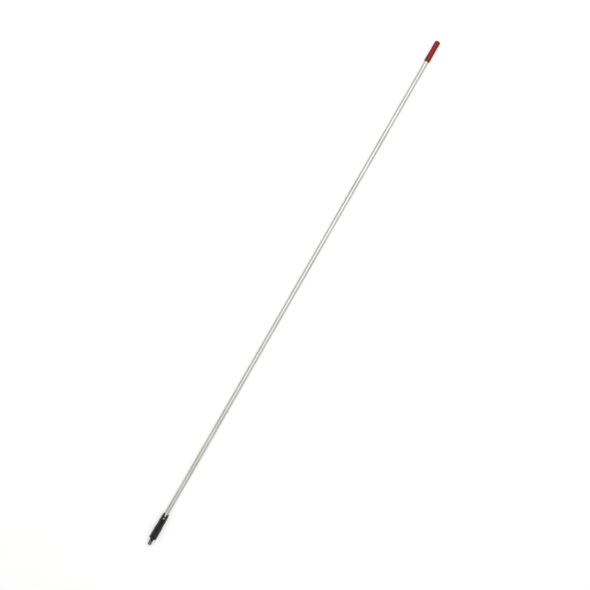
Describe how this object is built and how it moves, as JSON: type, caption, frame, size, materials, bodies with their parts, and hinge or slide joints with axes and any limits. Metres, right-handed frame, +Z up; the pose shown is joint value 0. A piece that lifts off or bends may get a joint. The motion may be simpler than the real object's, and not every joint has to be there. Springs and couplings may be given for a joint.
{
  "type": "roller extension pole",
  "caption": "Telescoping metal pole with a dark twist lock, a threaded tip for rollers and brushes and a domed red end grip.",
  "frame": {"origin": "centre of the bounding box's bottom, on the floor, with the pole collapsed and lying down", "axes": "+X along the pole towards the threaded tip, +Z up, +Y to the left when facing +X"},
  "size_m": [2.438, 0.0314, 0.0314],
  "materials": {
    "bare_aluminium": "satin drawn tube with fine lengthwise marks",
    "red_vinyl": "soft glossy dip-moulded vinyl",
    "black_plastic": "fine moulded texture",
    "pale_nylon": "natural nylon, satin",
    "dark_plastic": "dark moulded plastic, satin",
    "sleeve_plastic": "dark moulded plastic with lengthwise ribs, satin",
    "rivet_metal": "bright domed heads",
    "spring_steel": "bright drawn steel",
    "tip_plating": "dark plated, thread crests worn brighter"
  },
  "bodies": {
    "outer_pole": {"outer_tube": "bare_aluminium", "end_grip": "red_vinyl", "end_plug": "black_plastic", "front_bush": "pale_nylon", "ferrule": "dark_plastic", "ferrule_rivet_1": "rivet_metal", "ferrule_rivet_2": "rivet_metal", "ferrule_rivet_3": "rivet_metal", "ferrule_rivet_4": "rivet_metal", "sleeve_stop_ring": "spring_steel"},
    "collet_set": {"collet": "pale_nylon", "slip_washer": "spring_steel"},
    "twist_sleeve": {"twist_sleeve": "sleeve_plastic"},
    "guide_ring": {"guide_ring": "pale_nylon"},
    "inner_pole": {"inner_tube": "bare_aluminium", "rear_plug": "pale_nylon", "rear_plug_pin": "spring_steel", "tip_collar": "black_plastic", "threaded_tip": "tip_plating", "tip_pin": "spring_steel"}
  },
  "joints": [
    {"name": "pole_extend", "type": "slide", "parent": "outer_pole", "child": "guide_ring", "axis": [1, 0, 0], "range_m": [0, 2.2]},
    {"name": "pole_spin", "type": "hinge", "parent": "guide_ring", "child": "inner_pole", "pos_m": [0, 0, 0.0157], "axis": [1, 0, 0], "continuous": true},
    {"name": "lock_travel", "type": "slide", "parent": "outer_pole", "child": "collet_set", "axis": [1, 0, 0], "range_m": [0, 0.003]},
    {"name": "lock_twist", "type": "hinge", "parent": "collet_set", "child": "twist_sleeve", "pos_m": [1.16, 0, 0.0157], "axis": [1, 0, 0], "range_deg": [0, 360]}
  ],
  "couplings": [
    {"joint": "lock_travel", "follows": "lock_twist", "m_per_rad": 0.00047746}
  ]
}
